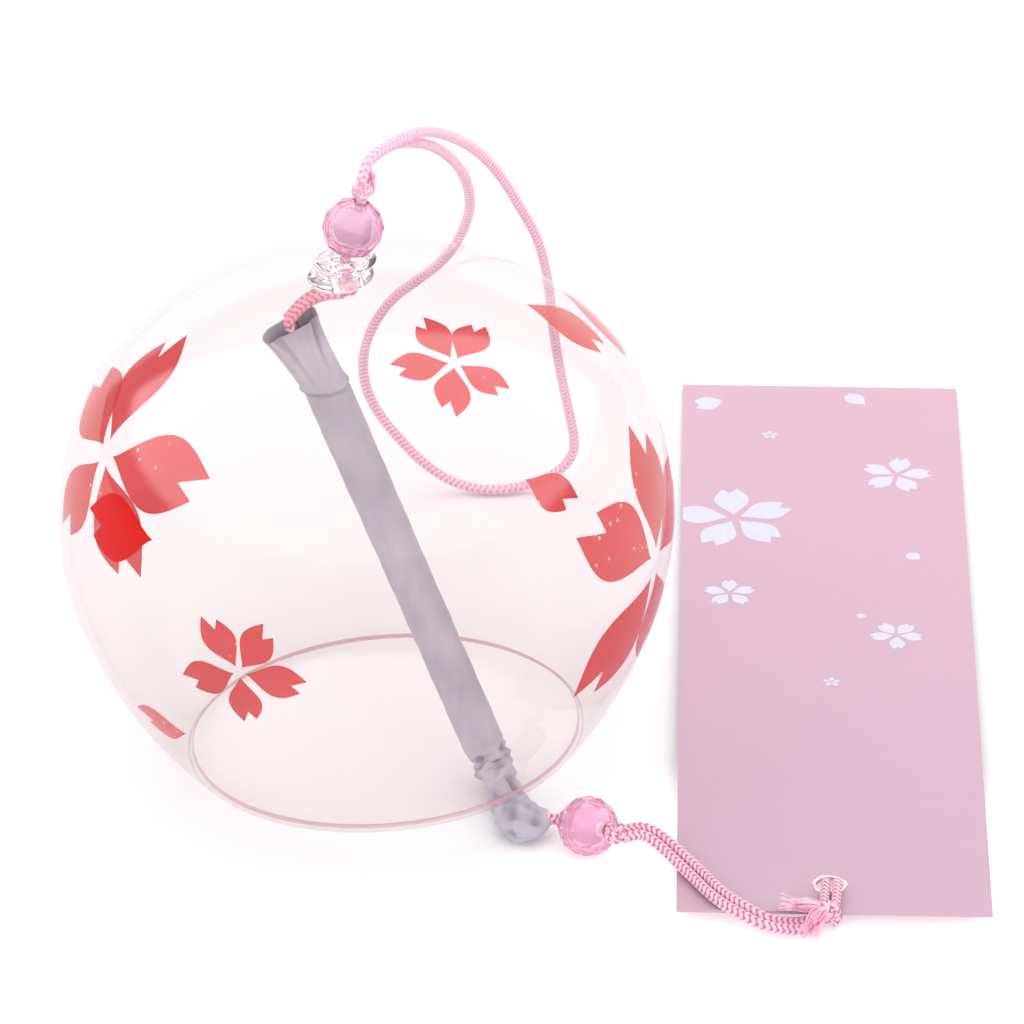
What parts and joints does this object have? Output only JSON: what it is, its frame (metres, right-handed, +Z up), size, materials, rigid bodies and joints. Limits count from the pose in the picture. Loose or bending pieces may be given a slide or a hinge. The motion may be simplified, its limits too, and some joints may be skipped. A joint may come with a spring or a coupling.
{
  "type": "furin wind bell",
  "caption": "Clear blown-glass wind bell on a cord, with faceted pink beads, a glass tube clapper in crumpled paper, a long hanging loop and a pink paper wind card.",
  "frame": {"origin": "on the table under the middle of the object's box, cords left out", "axes": "+Z up; +Y away from the viewer, along the wind card; +X to the right, from the bell to the card"},
  "size_m": [0.124, 0.1483, 0.0862],
  "materials": {
    "clear_glass": "gloss",
    "bead_shell": "gloss",
    "bead_core": "matte",
    "cord": "matte",
    "washi": "matte",
    "card": "matte"
  },
  "bodies": {
    "bell": {"glass_globe": "clear_glass", "inner_knot": "cord", "drop_cord": "cord"},
    "hanger": {"collar_cord": "cord", "top_knot": "cord"},
    "loop": {"hanging_loop": "cord"},
    "upper_bead": {"upper_bead_shell": "bead_shell", "upper_bead_core": "bead_core"},
    "clapper": {"clapper_tube": "clear_glass", "paper_wrap": "washi", "clapper_cord": "cord"},
    "tail": {"link_cord": "cord", "bead_knot": "cord", "tail_strand_left": "cord", "tail_strand_right": "cord"},
    "lower_bead": {"lower_bead_shell": "bead_shell", "lower_bead_core": "bead_core"},
    "strip": {"paper_strip": "card", "strip_knot": "cord", "strip_loop": "cord", "frayed_end_left": "cord", "frayed_end_front": "cord"}
  },
  "joints": [
    {"name": "hanger_turn", "type": "hinge", "parent": "bell", "child": "hanger", "pos_m": [-0.02438, -0.02511, 0.0689], "axis": [0, 0, 1], "range_deg": [-5, 90]},
    {"name": "loop_swing", "type": "hinge", "parent": "hanger", "child": "loop", "pos_m": [-0.02204, -0.0248, 0.08257], "axis": [0.9628, -0.2702, 0], "range_deg": [0, 90]},
    {"name": "upper_bead_spin", "type": "hinge", "parent": "hanger", "child": "upper_bead", "pos_m": [-0.02337, -0.02489, 0.07575], "axis": [0.2807, 0.0209, 0.9596], "continuous": true},
    {"name": "clapper_swing", "type": "hinge", "parent": "bell", "child": "clapper", "pos_m": [-0.0321, -0.02455, 0.0623], "axis": [0.4433, 0.8964, 0], "range_deg": [0, 31]},
    {"name": "tail_swing", "type": "hinge", "parent": "clapper", "child": "tail", "pos_m": [0.00313, -0.04969, 0.00251], "axis": [0.4758, 0.8796, 0], "range_deg": [0, 45]},
    {"name": "lower_bead_spin", "type": "hinge", "parent": "tail", "child": "lower_bead", "pos_m": [0.0066, -0.05355, 0.004], "axis": [0.6432, -0.7144, 0.2756], "continuous": true},
    {"name": "strip_turn", "type": "hinge", "parent": "tail", "child": "strip", "pos_m": [0.0367, -0.0716, 0.0029], "axis": [0, 0, 1], "range_deg": [-115, 0]}
  ]
}
